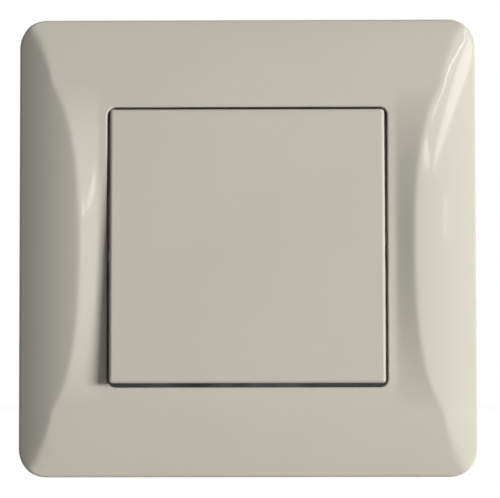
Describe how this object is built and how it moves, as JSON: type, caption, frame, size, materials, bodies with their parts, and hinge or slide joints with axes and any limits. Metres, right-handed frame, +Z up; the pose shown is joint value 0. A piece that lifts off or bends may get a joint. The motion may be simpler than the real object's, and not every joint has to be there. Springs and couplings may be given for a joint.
{
  "type": "flush wall rocker light switch",
  "caption": "Flush wall light switch: square frame with bowed side wings, one flat tilting rocker, snap contact, wire terminals and spreading claws for a round wall box.",
  "frame": {"origin": "centre of the switch on the wall surface that the frame and the support plate lie against", "axes": "+X right seen from the room, +Z up, +Y into the wall; the rocker faces -Y"},
  "size_m": [0.082, 0.0336, 0.082],
  "materials": {
    "ivory_gloss": "glossy moulded ivory",
    "white_plastic": "satin moulded",
    "grey_plastic": "matt moulded",
    "zinc_steel": "zinc plated",
    "spring_steel": "bright drawn wire",
    "brass": "bright stamped",
    "silver": "bright silver"
  },
  "bodies": {
    "housing": {"cover_frame": "ivory_gloss", "support_plate": "zinc_steel", "mechanism_cover": "white_plastic", "mechanism_base": "grey_plastic", "body_screws": "zinc_steel", "fixed_contact_rivet": "silver", "common_strip": "brass", "switched_strip": "brass", "common_terminal": "brass", "switched_terminal": "brass"},
    "rocker": {"rocker_cap": "ivory_gloss", "rocker_cradle": "white_plastic", "plunger_spring": "spring_steel"},
    "plunger": {"plunger": "white_plastic"},
    "contact": {"moving_contact": "brass", "moving_contact_rivet": "silver"},
    "common_screw": {"common_terminal_screw": "zinc_steel"},
    "switched_screw": {"switched_terminal_screw": "zinc_steel"},
    "screw_left": {"claw_screw_left": "zinc_steel"},
    "claw_left": {"claw_left": "zinc_steel"},
    "nut_left": {"claw_nut_left": "zinc_steel"},
    "screw_right": {"claw_screw_right": "zinc_steel"},
    "claw_right": {"claw_right": "zinc_steel"},
    "nut_right": {"claw_nut_right": "zinc_steel"}
  },
  "joints": [
    {"name": "rocker_tilt", "type": "hinge", "parent": "housing", "child": "rocker", "pos_m": [0, -0.006, 0], "axis": [1, 0, 0], "range_deg": [0, 6]},
    {"name": "contact_rock", "type": "hinge", "parent": "housing", "child": "contact", "pos_m": [0, 0.01095, 0], "axis": [1, 0, 0], "range_deg": [-16.01, 0.01]},
    {"name": "plunger_slide", "type": "slide", "parent": "rocker", "child": "plunger", "axis": [0, -0.9986, 0.0523], "range_m": [0, 0.001], "stiffness_N_per_m": 300, "springref_m": -0.002, "deforming": ["plunger_spring"]},
    {"name": "common_clamp", "type": "slide", "parent": "housing", "child": "common_screw", "axis": [0, 0, 1], "range_m": [0, 0.0019]},
    {"name": "switched_clamp", "type": "slide", "parent": "housing", "child": "switched_screw", "axis": [0, 0, -1], "range_m": [0, 0.0019]},
    {"name": "claw_screw_left_turn", "type": "hinge", "parent": "housing", "child": "screw_left", "pos_m": [-0.0245, 0, 0], "axis": [0, 1, 0], "range_deg": [-1, 805.8]},
    {"name": "claw_left_swing", "type": "hinge", "parent": "housing", "child": "claw_left", "pos_m": [-0.0209, 0.009, 0], "axis": [0, 0, 1], "range_deg": [-0.03, 20.03]},
    {"name": "claw_nut_left_travel", "type": "slide", "parent": "housing", "child": "nut_left", "axis": [0, -1, 0], "range_m": [0, 0.00112]},
    {"name": "claw_screw_right_turn", "type": "hinge", "parent": "housing", "child": "screw_right", "pos_m": [0.0245, 0, 0], "axis": [0, 1, 0], "range_deg": [-1, 805.8]},
    {"name": "claw_right_swing", "type": "hinge", "parent": "housing", "child": "claw_right", "pos_m": [0.0209, 0.009, 0], "axis": [0, 0, -1], "range_deg": [-0.03, 20.03]},
    {"name": "claw_nut_right_travel", "type": "slide", "parent": "housing", "child": "nut_right", "axis": [0, -1, 0], "range_m": [0, 0.00112]}
  ],
  "couplings": [
    {"joint": "contact_rock", "follows": "rocker_tilt", "ratio": -2.6667},
    {"joint": "claw_left_swing", "follows": "claw_nut_left_travel", "rad_per_m": 312.29},
    {"joint": "claw_screw_left_turn", "follows": "claw_nut_left_travel", "rad_per_m": 12566},
    {"joint": "claw_right_swing", "follows": "claw_nut_right_travel", "rad_per_m": 312.29},
    {"joint": "claw_screw_right_turn", "follows": "claw_nut_right_travel", "rad_per_m": 12566}
  ]
}
